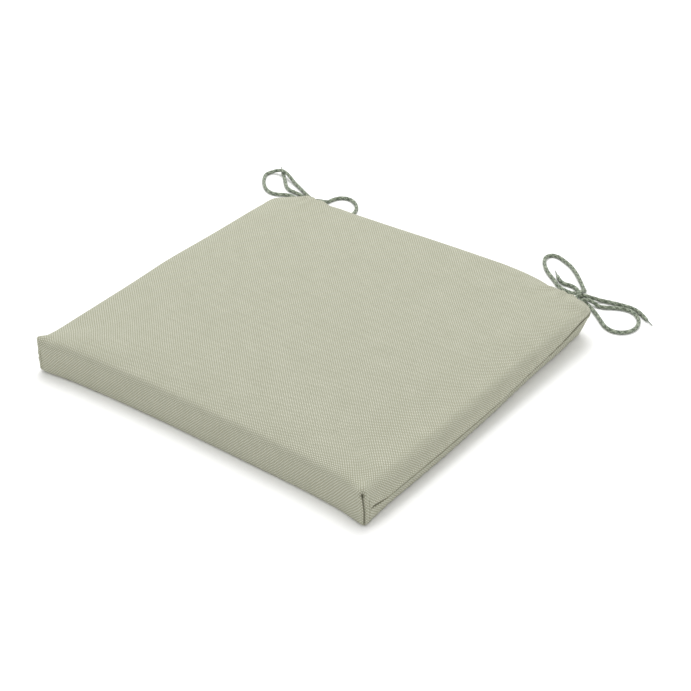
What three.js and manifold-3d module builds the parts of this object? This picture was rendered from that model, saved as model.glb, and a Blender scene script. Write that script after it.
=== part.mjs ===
// Chair seat pad: a fabric cover with a foam core, a coil zip in the back seam
// and a pair of tie cords, knotted in a bow, at each back corner.
// Millimetres, +Z up. X runs along the front edge, +Y points to the tied back edge,
// and the origin is the centre of the pad's underside.
import * as THREE from 'three';
import { mergeVertices } from 'three/addons/utils/BufferGeometryUtils.js';
import Module from 'manifold-3d';

const wasm = await Module();
wasm.setup();

// ---- driving dimensions ----
const WIDTH = 400;
const DEPTH = 392;
const HEIGHT = 39;
const FRONT_CORNER = 10;
const BACK_CORNER = 32;
const EDGE_ROUND = 9;
const FABRIC = 1.5;
const FOAM_GAP = 0.5;
const CLEAR = 0.3;

const SEAM_HEIGHT = 19.5;
const GROOVE_WIDTH = 1.2;
const GROOVE_DEPTH = 0.9;
const THREAD = 0.5;
const THREAD_SINK = 0.1;

const ZIP_HEIGHT = 25;
const ZIP_SLOT_LENGTH = 312;
const ZIP_SLOT_WIDTH = 9;
const CHAIN_DEPTH = 4.4;
const COIL_OPEN_END = -144.5;
const COIL_CLOSED_END = 149;
const COIL_INNER = 0.6;
const COIL_OUTER = 2.4;
const COIL_THICK = 1.6;
const TAPE_LENGTH = 320;
const TAPE_THICK = 0.5;
const TAPE_EDGE = 10;
const STOP_LENGTH = 2;
const SLIDER_LENGTH = 10;
const SLIDER_WIDTH = 7.4;
const PLATE_THICK = 0.9;
const SLIDER_INSIDE = 2.2;
const TAPE_SLOT = 1.2;
const BRIDGE_SPAN = 4.8;
const BRIDGE_WIDTH = 1.6;
const BRIDGE_BAR = 0.8;
const BRIDGE_HOLLOW = 1.4;
const PULL_LENGTH = 15;
const PULL_WIDTH = 5.2;
const PULL_THICK = 0.8;
const PULL_WINDOW = [3.2, 2.6];

const CORD = 4;
const CORD_SIDES = 8;
const CORD_STEP = 11;
const TIE_X = 164;
const TIE_SPACING = 5.2;
const TIE_SLIT = [11, 5];
const KNOT_LENGTH = 18;
const KNOT_WIDTH = 16;
const KNOT_THICK = 12;
const TIP_LENGTH = 12;

// ---- dimensions that follow ----
const BACK = DEPTH / 2;
const CHAIN_Y = BACK - CHAIN_DEPTH;
const FOAM_BACK = CHAIN_Y - SLIDER_INSIDE / 2 - PLATE_THICK - CLEAR;
const SLIDER_FACE = CHAIN_Y + SLIDER_INSIDE / 2 + PLATE_THICK;
const SLIDER_REST_X = COIL_CLOSED_END - SLIDER_LENGTH / 2 - 0.5;
const ZIP_STITCH = ZIP_SLOT_WIDTH / 2 + 3;

// ---- materials ----
const finish = (colour, roughness, metalness = 0) =>
  new THREE.MeshStandardMaterial({ color: colour, roughness, metalness });
const fabric = finish(0xc3c5ac, 0.9);
const foam = finish(0xe9e2c4, 0.95);
const thread = finish(0x6b6744, 0.8);
const tape = finish(0xb3b598, 0.85);
const coil = finish(0xa7aa8c, 0.45);
const paintedMetal = finish(0x9a9c80, 0.4, 0.6);
const braid = finish(0x8a9482, 0.85);
const sealedBraid = finish(0x6d7566, 0.5);

const pad = new THREE.Group();

function addPiece(name, geometry, material) {
  const piece = new THREE.Mesh(geometry, material);
  piece.name = name;
  pad.add(piece);
  return piece;
}

// ---- solid helpers ----
function toSolid(geometry) {
  const bare = geometry.clone();
  bare.deleteAttribute('normal');
  bare.deleteAttribute('uv');
  const merged = mergeVertices(bare, 1e-4);
  return new wasm.Manifold(new wasm.Mesh({
    numProp: 3,
    vertProperties: new Float32Array(merged.attributes.position.array),
    triVerts: new Uint32Array(merged.index.array),
  }));
}

function toGeometry(solid) {
  const mesh = solid.getMesh();
  const geometry = new THREE.BufferGeometry();
  geometry.setAttribute('position', new THREE.BufferAttribute(mesh.vertProperties, 3));
  geometry.setIndex(new THREE.BufferAttribute(mesh.triVerts, 1));
  return geometry;
}

function box(sizeX, sizeY, sizeZ, x, y, z) {
  return new THREE.BoxGeometry(sizeX, sizeY, sizeZ).translate(x, y, z);
}

// A slab with round plan corners and rounded top and bottom edges, standing on z = bottom.
function roundedSlab({ width, front, back, bottom, top, frontCorner, backCorner, edge }) {
  const half = width / 2;
  const plan = new THREE.Shape();
  plan.absarc(half - backCorner, back - backCorner, backCorner, 0, Math.PI / 2);
  plan.absarc(-half + backCorner, back - backCorner, backCorner, Math.PI / 2, Math.PI);
  plan.absarc(-half + frontCorner, front + frontCorner, frontCorner, Math.PI, 1.5 * Math.PI);
  plan.absarc(half - frontCorner, front + frontCorner, frontCorner, 1.5 * Math.PI, 2 * Math.PI);
  const slab = new THREE.ExtrudeGeometry(plan, {
    depth: top - bottom - 2 * edge,
    curveSegments: 8,
    bevelThickness: edge,
    bevelSize: edge,
    bevelOffset: -edge,
    bevelSegments: 5,
  });
  return slab.translate(0, 0, bottom + edge);
}

// A plate whose outline lies in X and Z, `thick` deep, with its +Y face at y.
function plateAcross(shape, thick, y) {
  const plate = new THREE.ExtrudeGeometry(shape, { depth: thick, bevelEnabled: false, curveSegments: 6 });
  return plate.rotateX(Math.PI / 2).translate(0, y, 0);
}

// ---- cover and core ----
// Each seam is a shallow groove in the cover with its thread lying in it.
function seams() {
  const sideLength = DEPTH - FRONT_CORNER - BACK_CORNER - 2;
  const sideMiddle = (FRONT_CORNER - BACK_CORNER) / 2;
  const list = [];
  for (const [side, sign] of [['left', -1], ['right', 1]]) {
    list.push({
      name: `side_seam_thread_${side}`,
      centre: [sign * WIDTH / 2, sideMiddle, SEAM_HEIGHT],
      length: sideLength,
      along: 'y',
      inward: [-sign, 0, 0],
      turn: 0,
    });
    const inCorner = FRONT_CORNER * (1 - Math.SQRT1_2);
    list.push({
      name: `corner_seam_thread_${side}`,
      centre: [sign * (WIDTH / 2 - inCorner), -DEPTH / 2 + inCorner, HEIGHT / 2],
      length: HEIGHT - 2 * EDGE_ROUND,
      along: 'z',
      inward: [-sign, 1, 0],
      turn: sign * Math.PI / 4,
    });
  }
  for (const [row, sign] of [['lower', -1], ['upper', 1]]) {
    list.push({
      name: `zip_stitch_${row}`,
      centre: [0, BACK, ZIP_HEIGHT + sign * ZIP_STITCH],
      length: TAPE_LENGTH - 4,
      along: 'x',
      inward: [0, -1, 0],
      turn: 0,
    });
  }
  return list;
}

// A bar lying along the seam, with its outer face `sink` below the cover's surface.
function seamBar(seam, width, deep, sink, length) {
  const middle = new THREE.Vector3(...seam.centre);
  const inward = new THREE.Vector3(...seam.inward).normalize();
  middle.addScaledVector(inward, sink + deep / 2);
  const size = { x: [length, deep, width], y: [deep, length, width], z: [width, deep, length] }[seam.along];
  const bar = new THREE.BoxGeometry(...size);
  return bar.rotateZ(seam.turn).translate(middle.x, middle.y, middle.z);
}

function coverGeometry() {
  const outer = roundedSlab({
    width: WIDTH,
    front: -BACK,
    back: BACK,
    bottom: 0,
    top: HEIGHT,
    frontCorner: FRONT_CORNER,
    backCorner: BACK_CORNER,
    edge: EDGE_ROUND,
  });
  const inner = roundedSlab({
    width: WIDTH - 2 * FABRIC,
    front: -BACK + FABRIC,
    back: BACK - FABRIC,
    bottom: FABRIC,
    top: HEIGHT - FABRIC,
    frontCorner: FRONT_CORNER - FABRIC,
    backCorner: BACK_CORNER - FABRIC,
    edge: EDGE_ROUND - FABRIC,
  });
  let cover = toSolid(outer).subtract(toSolid(inner));
  const through = 4 * FABRIC;
  cover = cover.subtract(toSolid(box(ZIP_SLOT_LENGTH, through, ZIP_SLOT_WIDTH, 0, BACK, ZIP_HEIGHT)));
  for (const sign of [-1, 1]) {
    const slit = box(TIE_SLIT[0], through, TIE_SLIT[1], sign * TIE_X, BACK, ZIP_HEIGHT);
    cover = cover.subtract(toSolid(slit));
  }
  for (const seam of seams()) {
    const groove = seamBar(seam, GROOVE_WIDTH, 2 * GROOVE_DEPTH, -GROOVE_DEPTH, seam.length + 2);
    cover = cover.subtract(toSolid(groove));
  }
  return toGeometry(cover);
}

function foamGeometry() {
  const inset = FABRIC + FOAM_GAP;
  return roundedSlab({
    width: WIDTH - 2 * inset,
    front: -BACK + inset,
    back: FOAM_BACK,
    bottom: inset,
    top: HEIGHT - inset,
    frontCorner: FRONT_CORNER - inset,
    backCorner: BACK_CORNER - inset,
    edge: EDGE_ROUND - inset,
  });
}

// ---- zip ----
function addZipChain() {
  const coilLength = COIL_CLOSED_END - COIL_OPEN_END;
  const coilX = (COIL_CLOSED_END + COIL_OPEN_END) / 2;
  for (const [row, sign] of [['lower', -1], ['upper', 1]]) {
    const coilWidth = COIL_OUTER - COIL_INNER;
    const coilZ = ZIP_HEIGHT + sign * (COIL_INNER + COIL_OUTER) / 2;
    const coilRow = box(coilLength, COIL_THICK, coilWidth, coilX, CHAIN_Y, coilZ);
    addPiece(`zip_coil_${row}`, coilRow, coil);
    const tapeStart = COIL_OUTER + CLEAR;
    const tapeZ = ZIP_HEIGHT + sign * (tapeStart + TAPE_EDGE) / 2;
    const strip = box(TAPE_LENGTH, TAPE_THICK, TAPE_EDGE - tapeStart, 0, CHAIN_Y, tapeZ);
    addPiece(`zip_tape_${row}`, strip, tape);
    const stopX = COIL_CLOSED_END + CLEAR + STOP_LENGTH / 2;
    const stop = box(STOP_LENGTH, COIL_THICK, coilWidth, stopX, CHAIN_Y, coilZ);
    addPiece(`zip_top_stop_${row}`, stop, paintedMetal);
  }
  const endX = COIL_OPEN_END - CLEAR - STOP_LENGTH / 2;
  const bottomStop = box(STOP_LENGTH, COIL_THICK, 2 * COIL_OUTER, endX, CHAIN_Y, ZIP_HEIGHT);
  addPiece('zip_bottom_stop', bottomStop, paintedMetal);
}

// Plate outline of the slider: wide shoulders at the mouth, narrower at the closed end.
function sliderOutline() {
  const l = SLIDER_LENGTH / 2;
  const w = SLIDER_WIDTH / 2;
  const outline = new THREE.Shape();
  outline.moveTo(-l, -0.55 * w);
  outline.lineTo(-0.5 * l, -0.85 * w);
  outline.lineTo(0.6 * l, -w);
  outline.lineTo(l, -0.6 * w);
  outline.lineTo(l, 0.6 * w);
  outline.lineTo(0.6 * l, w);
  outline.lineTo(-0.5 * l, 0.85 * w);
  outline.lineTo(-l, 0.55 * w);
  return outline;
}

function sliderGeometry() {
  const outerPlate = plateAcross(sliderOutline(), PLATE_THICK, SLIDER_FACE);
  const innerPlate = plateAcross(sliderOutline(), PLATE_THICK, CHAIN_Y - SLIDER_INSIDE / 2);
  let slider = toSolid(outerPlate).add(toSolid(innerPlate));
  const overlap = 0.2;
  const post = box(2.4, SLIDER_INSIDE + 2 * overlap, COIL_INNER, 0.6 * SLIDER_LENGTH / 2, CHAIN_Y, 0);
  slider = slider.add(toSolid(post));
  const lip = (SLIDER_INSIDE - TAPE_SLOT) / 2;
  const flangeWidth = 0.8 * SLIDER_WIDTH / 2 - COIL_OUTER + 0.2;
  for (const side of [-1, 1]) {
    for (const row of [-1, 1]) {
      const flangeY = CHAIN_Y + side * (SLIDER_INSIDE / 2 - lip / 2 + overlap / 2);
      const flangeZ = row * (COIL_OUTER + CLEAR + flangeWidth / 2);
      const flange = box(0.6 * SLIDER_LENGTH, lip + overlap, flangeWidth, 0, flangeY, flangeZ);
      slider = slider.add(toSolid(flange));
    }
  }
  const rise = BRIDGE_HOLLOW + BRIDGE_BAR;
  const bridge = box(BRIDGE_SPAN, rise + overlap, BRIDGE_WIDTH, 0, SLIDER_FACE + (rise - overlap) / 2, 0);
  const hollow = box(BRIDGE_SPAN - 2 * BRIDGE_BAR, BRIDGE_HOLLOW, 2 * BRIDGE_WIDTH,
    0, SLIDER_FACE + BRIDGE_HOLLOW / 2, 0);
  slider = slider.add(toSolid(bridge).subtract(toSolid(hollow)));
  return toGeometry(slider);
}

// The pull's window goes round the slider's bridge, and its end bar turns under the bridge.
function pullGeometry() {
  const w = PULL_WIDTH / 2;
  const bar = PULL_THICK / 2;
  const tipRadius = 0.7 * w;
  const outline = new THREE.Shape();
  outline.moveTo(bar, -0.8 * w);
  outline.lineTo(bar, 0.8 * w);
  outline.lineTo(-6, w);
  outline.absarc(-PULL_LENGTH + tipRadius, w - tipRadius, tipRadius, 0.5 * Math.PI, Math.PI);
  outline.absarc(-PULL_LENGTH + tipRadius, -w + tipRadius, tipRadius, Math.PI, 1.5 * Math.PI);
  outline.lineTo(-6, -w);
  const window = new THREE.Path();
  const [windowLength, windowWidth] = PULL_WINDOW;
  window.moveTo(-bar, -windowWidth / 2);
  window.lineTo(-bar - windowLength, -windowWidth / 2);
  window.lineTo(-bar - windowLength, windowWidth / 2);
  window.lineTo(-bar, windowWidth / 2);
  const eye = new THREE.Path();
  eye.absarc(-PULL_LENGTH + 4.5, 0, 1.2, 0, 2 * Math.PI);
  outline.holes.push(window, eye);
  return plateAcross(outline, PULL_THICK, PULL_THICK / 2);
}

function addSlider() {
  const slider = addPiece('zip_slider', sliderGeometry(), paintedMetal);
  slider.position.set(SLIDER_REST_X, 0, ZIP_HEIGHT);
  const pull = addPiece('zip_pull', pullGeometry(), paintedMetal);
  pull.position.set(SLIDER_REST_X, SLIDER_FACE + BRIDGE_HOLLOW / 2, ZIP_HEIGHT);
}

// ---- tie cords ----
// Routes are centre lines laid by hand, [x, y, z]. Roots start inside the cover, a loop starts
// and ends in its knot, and an end runs from the knot to its sealed tip.
const FLOOR = CORD / 2 + 0.2;
const KNOT_UP = KNOT_THICK / 2 + 0.2;
const ROOT_START = CHAIN_Y;
const TIE_INNER = TIE_X - TIE_SPACING / 2;
const TIE_OUTER = TIE_X + TIE_SPACING / 2;

const RIGHT_BOW = {
  side: 'right',
  knot: [156, 244, KNOT_UP],
  turn: -15,
  roots: {
    a: [[TIE_INNER, ROOT_START, ZIP_HEIGHT], [TIE_INNER, 203, 24.3], [159.5, 212, 19.5],
      [156, 222, 10.5], [153, 232, 5], [154, 244, KNOT_UP]],
    b: [[TIE_OUTER, ROOT_START, ZIP_HEIGHT], [TIE_OUTER, 203, 24.1], [165, 212, 19],
      [161.5, 222, 10], [157.8, 232, 5], [157, 244, KNOT_UP]],
  },
  loops: {
    a: [[156, 244, 5], [152.5, 254, 3], [146, 262, FLOOR], [135, 273.5, FLOOR], [123, 285, FLOOR],
      [110, 295, FLOOR], [98, 301, FLOOR], [88, 304.5, FLOOR], [80.5, 303, FLOOR], [78, 296, FLOOR],
      [81, 287.5, FLOOR], [87, 279, FLOOR], [95, 271, FLOOR], [104, 264, FLOOR], [113, 257.5, FLOOR],
      [121, 251.5, FLOOR], [131, 248, FLOOR], [141, 246.5, 3], [148, 245.5, 5], [156, 244, 5]],
    b: [[156, 244, 5], [166, 242, 3.5], [174, 241, FLOOR], [182, 243.5, FLOOR], [190, 248.5, FLOOR],
      [198, 252.3, FLOOR], [206, 253.5, FLOOR], [214, 251, FLOOR], [221, 245, FLOOR], [226, 236.5, FLOOR],
      [228, 227, FLOOR], [226, 218, FLOOR], [220, 211, FLOOR], [212, 208.5, FLOOR], [203, 210.5, FLOOR],
      [195, 216, FLOOR], [186, 223.5, FLOOR], [176, 231, FLOOR], [168, 236, 3], [156, 244, 5]],
  },
  ends: {
    a: [[156, 244, 5], [164.5, 249, 4.5], [172, 252.8, 2.5], [182, 256, FLOOR], [194, 258.3, FLOOR],
      [205, 259.3, FLOOR], [214, 257.5, FLOOR], [222, 253, FLOOR], [229, 248.5, FLOOR]],
    b: [[156, 244, 5], [147.5, 251, 4], [142, 256, 2.5], [136, 259.5, FLOOR], [130, 260.3, FLOOR],
      [124, 259.5, FLOOR], [118.5, 261, FLOOR], [113, 265, FLOOR], [109.5, 268.5, FLOOR]],
  },
};

const LEFT_BOW = {
  side: 'left',
  knot: [-199, 231, KNOT_UP],
  turn: 0,
  roots: {
    a: [[-TIE_OUTER, ROOT_START, ZIP_HEIGHT], [-TIE_OUTER, 201, 24.3], [-170.5, 208.5, 19.5],
      [-179.5, 213.5, 11.5], [-190.5, 217.5, 5.5], [-200, 228, KNOT_UP]],
    b: [[-TIE_INNER, ROOT_START, ZIP_HEIGHT], [-TIE_INNER, 202, 24.4], [-165, 210.5, 20],
      [-175, 217, 12.5], [-187, 222.5, 7], [-199, 230, KNOT_UP]],
  },
  loops: {
    a: [[-199, 231, 5], [-202.5, 240.3, 3.5], [-210.5, 247, FLOOR], [-221, 251.5, FLOOR],
      [-230, 256, FLOOR], [-240, 261, FLOOR], [-249, 265, 2.8], [-258, 269, 4.8],
      [-267, 272.5, 6.5], [-276, 274.5, 6.5], [-283, 274.5, 4.4], [-288.5, 270.5, 2.4],
      [-290, 263, FLOOR], [-285, 252.5, FLOOR],
      [-276, 241.5, FLOOR], [-266, 233.5, FLOOR], [-256, 230, FLOOR], [-248, 231.5, FLOOR],
      [-241, 235.5, FLOOR], [-233, 238, FLOOR], [-223, 236.5, FLOOR], [-212, 232.3, 3], [-199, 230, 5]],
    b: [[-199, 231, 5], [-192.5, 240, 3], [-190, 250, FLOOR], [-188.5, 259, FLOOR], [-185, 267, FLOOR],
      [-179, 271.5, FLOOR], [-171, 272, FLOOR], [-161, 267, FLOOR], [-153.5, 259, FLOOR],
      [-149.5, 249, FLOOR], [-149.5, 240, FLOOR], [-154, 233, FLOOR], [-163, 229.5, FLOOR],
      [-174, 230, FLOOR], [-185, 231.5, 3], [-199, 231, 5]],
  },
  ends: {
    a: [[-199, 231, 6.5], [-190, 235.5, 6.5], [-182.5, 238.3, 4.2], [-177, 239.3, FLOOR],
      [-172, 240, FLOOR], [-167, 241, FLOOR]],
    b: [[-199, 231, 5], [-208, 236.7, 4], [-216, 242, 2.6], [-225, 246, FLOOR], [-234, 247.3, FLOOR],
      [-243, 248.3, FLOOR], [-251, 252.5, FLOOR], [-259, 260, FLOOR], [-266, 267.2, FLOOR],
      [-273, 274, FLOOR], [-279, 279.7, FLOOR]],
  },
};

function cordTube(route) {
  const points = route.map((point) => new THREE.Vector3(...point));
  const line = new THREE.CatmullRomCurve3(points, false, 'centripetal');
  const section = new THREE.Shape();
  section.absarc(0, 0, CORD / 2, 0, 2 * Math.PI);
  return new THREE.ExtrudeGeometry(section, {
    steps: Math.max(4, Math.round(line.getLength() / CORD_STEP)),
    curveSegments: CORD_SIDES / 2,
    extrudePath: line,
  });
}

// The knot's outer shape, swollen by `extra` all round when it is used as a cutter.
function knotShape(bow, extra) {
  const shape = new THREE.SphereGeometry(1, 14, 8);
  shape.scale(KNOT_LENGTH / 2 + extra, KNOT_WIDTH / 2 + extra, KNOT_THICK / 2 + extra);
  shape.rotateZ(THREE.MathUtils.degToRad(bow.turn));
  return shape.translate(...bow.knot);
}

function tipGeometry() {
  const profile = [[0, 0], [1.7, 0], [1.6, 1.5], [0.9, 4], [0.6, TIP_LENGTH - 0.8], [0.35, TIP_LENGTH],
    [0, TIP_LENGTH]];
  return new THREE.LatheGeometry(profile.map(([r, h]) => new THREE.Vector2(r, h)), CORD_SIDES);
}

function addTip(name, route) {
  const tipEnd = new THREE.Vector3(...route.at(-1));
  const before = new THREE.Vector3(...route.at(-2));
  const direction = tipEnd.clone().sub(before).normalize();
  const tip = addPiece(name, tipGeometry(), sealedBraid);
  tip.quaternion.setFromUnitVectors(new THREE.Vector3(0, 1, 0), direction);
  tip.position.copy(tipEnd).addScaledVector(direction, 2 * CLEAR);
}

function addBow(bow) {
  const cutter = toSolid(knotShape(bow, CLEAR));
  for (const [stretch, routes] of [['root', bow.roots], ['loop', bow.loops], ['end', bow.ends]]) {
    for (const [tail, route] of Object.entries(routes)) {
      const tube = toSolid(cordTube(route)).subtract(cutter);
      addPiece(`tie_${bow.side}_${stretch}_${tail}`, toGeometry(tube), braid);
    }
  }
  addPiece(`tie_${bow.side}_knot`, knotShape(bow, 0), braid);
  for (const [tail, route] of Object.entries(bow.ends)) {
    addTip(`tie_${bow.side}_tip_${tail}`, route);
  }
}

// The tack that holds the cords' sewn middle to the back seam, inside the cover.
function addBarTack(side, sign) {
  const thick = 1.5;
  const y = ROOT_START - CLEAR - thick / 2;
  addPiece(`tie_bar_tack_${side}`, box(12, thick, 3, sign * TIE_X, y, ZIP_HEIGHT), thread);
}

addPiece('cover', coverGeometry(), fabric);
addPiece('foam_core', foamGeometry(), foam);
for (const seam of seams()) {
  addPiece(seam.name, seamBar(seam, THREAD, THREAD, THREAD_SINK, seam.length), thread);
}
addZipChain();
addSlider();
addBarTack('left', -1);
addBarTack('right', 1);
addBow(LEFT_BOW);
addBow(RIGHT_BOW);

export default pad;
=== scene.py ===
"""Chair seat pad: woven cover with a foam core, a coil zip in the back seam and two cord bows."""

import math

import bpy
import numpy as np
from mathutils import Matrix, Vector
from mathutils.bvhtree import BVHTree


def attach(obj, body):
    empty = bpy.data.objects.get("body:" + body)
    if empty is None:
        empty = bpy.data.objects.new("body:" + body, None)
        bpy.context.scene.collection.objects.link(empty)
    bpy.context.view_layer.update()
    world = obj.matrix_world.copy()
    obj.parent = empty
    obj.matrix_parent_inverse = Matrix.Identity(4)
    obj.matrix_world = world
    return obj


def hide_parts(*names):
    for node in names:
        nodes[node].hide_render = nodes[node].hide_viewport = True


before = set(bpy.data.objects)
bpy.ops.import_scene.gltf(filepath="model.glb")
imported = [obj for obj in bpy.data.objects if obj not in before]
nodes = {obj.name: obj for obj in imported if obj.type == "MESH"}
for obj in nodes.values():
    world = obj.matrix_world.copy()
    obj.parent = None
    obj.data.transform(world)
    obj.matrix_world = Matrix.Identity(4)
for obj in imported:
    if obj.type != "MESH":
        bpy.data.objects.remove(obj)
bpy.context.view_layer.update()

# ---- sizes, in millimetres ----
MM = 0.001
WIDTH = 400
DEPTH = 392
HEIGHT = 38.5
FRONT_CORNER = 4
BACK_LEFT_CORNER = 34
BACK_RIGHT_CORNER = 20
EDGE = 8
LOWER_EDGE = 4
SWELL = 3
FABRIC = 1.1
YARN = 1.5
SEAM_LOW = 16.5
ZIP_HEIGHT = 25
ZIP_SLOT = (-149, 151.5)
TIE_X = 164
TIE_SPACING = 5.2
TIE_INNER = TIE_X - TIE_SPACING / 2
TIE_OUTER = TIE_X + TIE_SPACING / 2
TIE_HOLE = 5
CHAIN_Y = 191.6
COIL_ENDS = (-144.5, 149)
COIL_PITCH = 1.25
COIL_CENTRE = 1.25
COIL_HALF_WIDTH = 1.1
COIL_HALF_DEPTH = 0.6
FILAMENT_RADIUS = 0.26
ZIP_STITCH = 7.5
LIP_Y = CHAIN_Y + 1.0
LIP_CLOSE = 0.92
TIE_LIP_CLOSE = 0.7
FOAM_INSET = 4.5
FOAM_BACK = 188.8
FOAM_BOTTOM = 3.2
FOAM_TOP = HEIGHT - 4
CORD = 4
TIP_LENGTH = 12
FLOOR = CORD / 2 + 0.2


# ---- camera, floor and light ----
def add_camera():
    azimuth, elevation, distance = math.radians(37.4), math.radians(32.7), 1.795
    aim = Vector((0.0103, 0.024, 0))
    back = Vector((
        math.sin(azimuth) * math.cos(elevation),
        -math.cos(azimuth) * math.cos(elevation),
        math.sin(elevation),
    ))
    data = bpy.data.cameras.new("camera")
    data.sensor_width = 36
    data.lens = 92.71
    camera = bpy.data.objects.new("camera", data)
    camera.location = aim + back * distance
    camera.rotation_euler = back.to_track_quat("Z", "Y").to_euler()
    bpy.context.scene.collection.objects.link(camera)
    bpy.context.scene.camera = camera


def add_light(name, place, aim, size, power):
    data = bpy.data.lights.new(name, "AREA")
    data.shape = "DISK"
    data.size = size
    data.energy = power
    light = bpy.data.objects.new(name, data)
    light.location = place
    light.rotation_euler = (Vector(place) - Vector(aim)).to_track_quat("Z", "Y").to_euler()
    bpy.context.scene.collection.objects.link(light)


def add_studio():
    bpy.context.scene.view_settings.view_transform = "Standard"
    world = bpy.data.worlds.new("studio")
    world.use_nodes = True
    sky = world.node_tree.nodes["Background"]
    sky.inputs["Color"].default_value = (1, 1, 1, 1)
    sky.inputs["Strength"].default_value = 1.0
    bpy.context.scene.world = world
    add_light("key", (-0.7, 0.9, 2.4), (0, 0, 0), 2.0, 43)
    far = 20000
    corners = [(-far, -far, 0), (far, -far, 0), (far, far, 0), (-far, far, 0)]
    floor = make_mesh("floor", corners, [(0, 1, 2, 3)])
    floor.data.materials.append(floor_material())


# ---- mesh helpers ----
def make_mesh(name, points, faces):
    """A smooth-shaded mesh object from points in millimetres."""
    mesh = bpy.data.meshes.new(name)
    mesh.from_pydata((np.asarray(points, float) * MM).tolist(), [], faces)
    mesh.polygons.foreach_set("use_smooth", [True] * len(mesh.polygons))
    mesh.update()
    piece = bpy.data.objects.new(name, mesh)
    bpy.context.scene.collection.objects.link(piece)
    return piece


def vertex_places(mesh):
    """Every vertex of a mesh, in millimetres."""
    flat = np.zeros(len(mesh.vertices) * 3)
    mesh.vertices.foreach_get("co", flat)
    return flat.reshape(-1, 3) / MM


def set_places(mesh, places):
    mesh.vertices.foreach_set("co", (places * MM).ravel())
    mesh.update()


def vertex_normals(mesh):
    flat = np.zeros(len(mesh.vertices) * 3)
    mesh.vertex_normals.foreach_get("vector", flat)
    return flat.reshape(-1, 3)


def add_values(mesh, name, values):
    attribute = mesh.attributes.new(name, "FLOAT", "POINT")
    attribute.data.foreach_set("value", np.asarray(values, float))


def get_values(mesh, name):
    values = np.zeros(len(mesh.vertices))
    mesh.attributes[name].data.foreach_get("value", values)
    return values


def apply_modifiers(piece):
    """Replaces the mesh by what its modifiers make of it."""
    graph = bpy.context.evaluated_depsgraph_get()
    shaped = bpy.data.meshes.new_from_object(
        piece.evaluated_get(graph), preserve_all_data_layers=True, depsgraph=graph
    )
    piece.modifiers.clear()
    piece.data = shaped


def subdivide(piece, levels):
    step = piece.modifiers.new("finer", "SUBSURF")
    step.levels = levels
    step.render_levels = levels
    apply_modifiers(piece)


def join(name, parts):
    """One mesh object from a list of (points, faces)."""
    points = []
    faces = []
    for part_points, part_faces in parts:
        start = len(points)
        points.extend(part_points)
        faces.extend(tuple(start + i for i in face) for face in part_faces)
    return make_mesh(name, points, faces)


# ---- material helpers ----
class Nodes:
    """A short way to write a node tree."""

    def __init__(self, name):
        self.material = bpy.data.materials.new(name)
        self.material.use_nodes = True
        self.tree = self.material.node_tree
        self.shader = self.tree.nodes["Principled BSDF"]

    def add(self, kind, **settings):
        node = self.tree.nodes.new(kind)
        for key, value in settings.items():
            setattr(node, key, value)
        return node

    def link(self, source, target):
        if hasattr(source, "links"):
            self.tree.links.new(source, target)
        else:
            target.default_value = source

    def math(self, operation, a, b=0.0, clamp=False):
        node = self.add("ShaderNodeMath", operation=operation, use_clamp=clamp)
        self.link(a, node.inputs[0])
        self.link(b, node.inputs[1])
        return node.outputs[0]

    def mix(self, amount, a, b):
        node = self.add("ShaderNodeMix", data_type="RGBA")
        self.link(amount, node.inputs[0])
        self.link(a, node.inputs[6])
        self.link(b, node.inputs[7])
        return node.outputs[2]

    def attribute(self, name):
        return self.add("ShaderNodeAttribute", attribute_name=name)

    def noise(self, vector, scale, detail=2.0, roughness=0.5):
        node = self.add("ShaderNodeTexNoise")
        self.link(vector, node.inputs["Vector"])
        node.inputs["Scale"].default_value = scale
        node.inputs["Detail"].default_value = detail
        node.inputs["Roughness"].default_value = roughness
        return node.outputs["Fac"]

    def spread(self, value, low, high, to_low=0.0, to_high=1.0):
        node = self.add("ShaderNodeMapRange")
        self.link(value, node.inputs["Value"])
        for socket, number in zip(node.inputs[1:5], (low, high, to_low, to_high)):
            socket.default_value = number
        return node.outputs["Result"]

    def bump(self, height, strength, distance):
        node = self.add("ShaderNodeBump")
        self.link(height, node.inputs["Height"])
        node.inputs["Strength"].default_value = strength
        node.inputs["Distance"].default_value = distance
        return node.outputs["Normal"]

    def place(self):
        return self.add("ShaderNodeTexCoord").outputs["Object"]

    def set(self, **values):
        for name, value in values.items():
            self.link(value, self.shader.inputs[name.replace("_", " ")])


def stretched(n, vector, x, y, z):
    """The vector with each of its parts multiplied."""
    node = n.add("ShaderNodeVectorMath", operation="MULTIPLY")
    n.link(vector, node.inputs[0])
    node.inputs[1].default_value = (x, y, z)
    return node.outputs[0]


# ---- materials ----
def floor_material():
    n = Nodes("floor_paper")
    grain = n.noise(n.place(), 60, 3)
    n.set(
        Base_Color=n.mix(n.spread(grain, 0.3, 0.7), (0.93, 0.93, 0.925, 1), (0.945, 0.945, 0.94, 1)),
        Roughness=0.9,
        Normal=n.bump(grain, 0.05, 0.0005),
    )
    n.shader.inputs["Specular IOR Level"].default_value = 0.1
    return n.material


def weave_height(n, u, v):
    """A weave whose bumps lie like a chequerboard, and which of the two yarns is over."""
    across = n.math("SINE", n.math("MULTIPLY", u, math.pi))
    along = n.math("SINE", n.math("MULTIPLY", v, math.pi))
    crossing = n.math("MULTIPLY", across, along)
    bump = n.math("POWER", n.math("ABSOLUTE", crossing), 0.6)
    over = n.spread(crossing, -0.25, 0.25)
    return bump, over


def yarn_tone(n, place):
    """A tone of its own for each yarn, 0 to 1."""
    node = n.add("ShaderNodeTexWhiteNoise", noise_dimensions="1D")
    n.link(n.math("FLOOR", place), node.inputs["W"])
    return node.outputs["Value"]


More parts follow.
